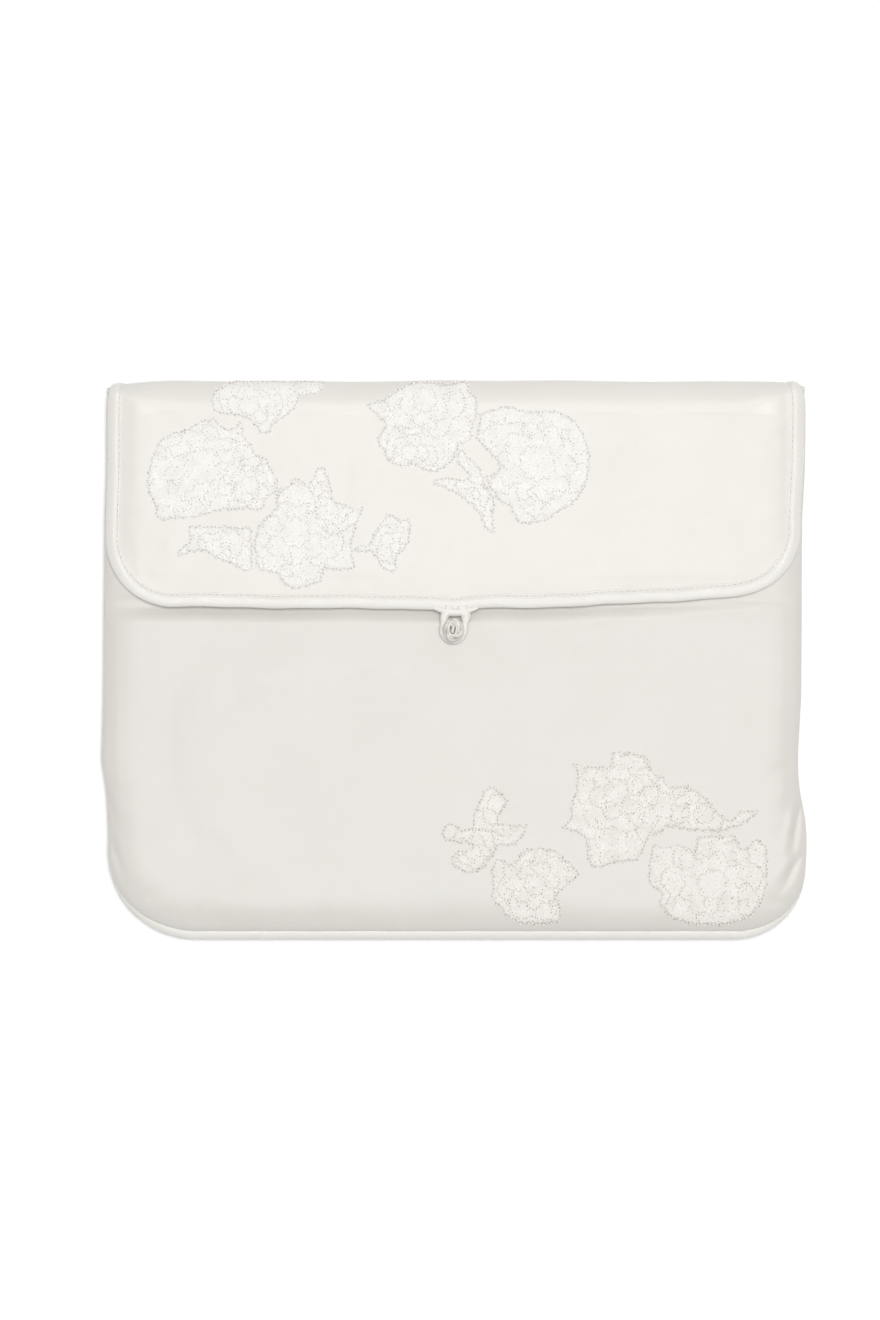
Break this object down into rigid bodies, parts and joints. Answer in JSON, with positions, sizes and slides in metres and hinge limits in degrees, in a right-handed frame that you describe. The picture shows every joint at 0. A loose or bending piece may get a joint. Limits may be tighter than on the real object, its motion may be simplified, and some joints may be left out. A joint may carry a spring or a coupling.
{
  "type": "satin envelope pouch",
  "caption": "Padded satin envelope pouch with a deep folded flap, bound edges, lace flower appliques and a fabric knot closed by a cord loop.",
  "frame": {"origin": "under the middle of the closed pouch, on the surface it lies on", "axes": "+X along the fold, to the right with the flap up; +Y from the bottom seam to the fold; +Z out of the front"},
  "size_m": [0.32, 0.256, 0.0282],
  "materials": {
    "satin": "ivory silk satin with a soft sheen",
    "binding": "ivory satin cut on the bias, with a topstitch",
    "lining": "plain ivory lining, slight sheen",
    "wadding": "soft white polyester wadding",
    "lace": "white embroidered lace, matt thread",
    "knot": "silvery ivory satin cord",
    "thread": "ivory sewing thread"
  },
  "bodies": {
    "pouch": {"back_satin": "satin", "back_wadding": "wadding", "back_lining": "lining", "front_satin": "satin", "front_wadding": "wadding", "front_lining": "lining", "edge_binding": "binding", "mouth_binding": "binding", "knot_foot": "thread", "lace_spray": "lace", "lace_lower_bloom": "lace", "lace_bouquet": "lace", "lace_shell_bloom": "lace"},
    "fold": {"fold_satin": "satin", "fold_wadding": "wadding", "fold_lining": "lining", "fold_binding_left": "binding", "fold_binding_right": "binding"},
    "flap": {"flap_satin": "satin", "flap_wadding": "wadding", "flap_lining": "lining", "flap_binding": "binding", "loop_tab": "thread", "lace_top_edge": "lace", "lace_round_bloom": "lace", "lace_leaves": "lace", "lace_jagged_bloom": "lace", "lace_bud": "lace", "lace_rose": "lace", "lace_centre_leaf": "lace", "lace_scalloped_bloom": "lace"},
    "loop": {"button_loop": "binding"},
    "knot": {"knot_shank": "knot", "knot_ball": "knot"}
  },
  "joints": [
    {"name": "fold_hinge", "type": "hinge", "parent": "pouch", "child": "fold", "pos_m": [0, 0.128, 0], "axis": [-1, 0, 0], "range_deg": [0, 90]},
    {"name": "flap_hinge", "type": "hinge", "parent": "fold", "child": "flap", "pos_m": [0, 0.128, 0.0212], "axis": [-1, 0, 0], "range_deg": [0, 90]},
    {"name": "loop_swing", "type": "hinge", "parent": "flap", "child": "loop", "pos_m": [0.0005, 0.0194, 0.01825], "axis": [-1, 0, 0], "range_deg": [0, 120], "deforming": ["button_loop"]},
    {"name": "knot_tilt", "type": "hinge", "parent": "pouch", "child": "knot", "pos_m": [-0.0005, 0.0136, 0.0172], "axis": [-1, 0, 0], "range_deg": [-12, 12], "stiffness_Nm_per_rad": 0.01}
  ],
  "couplings": [
    {"joint": "flap_hinge", "follows": "fold_hinge", "ratio": 1}
  ]
}
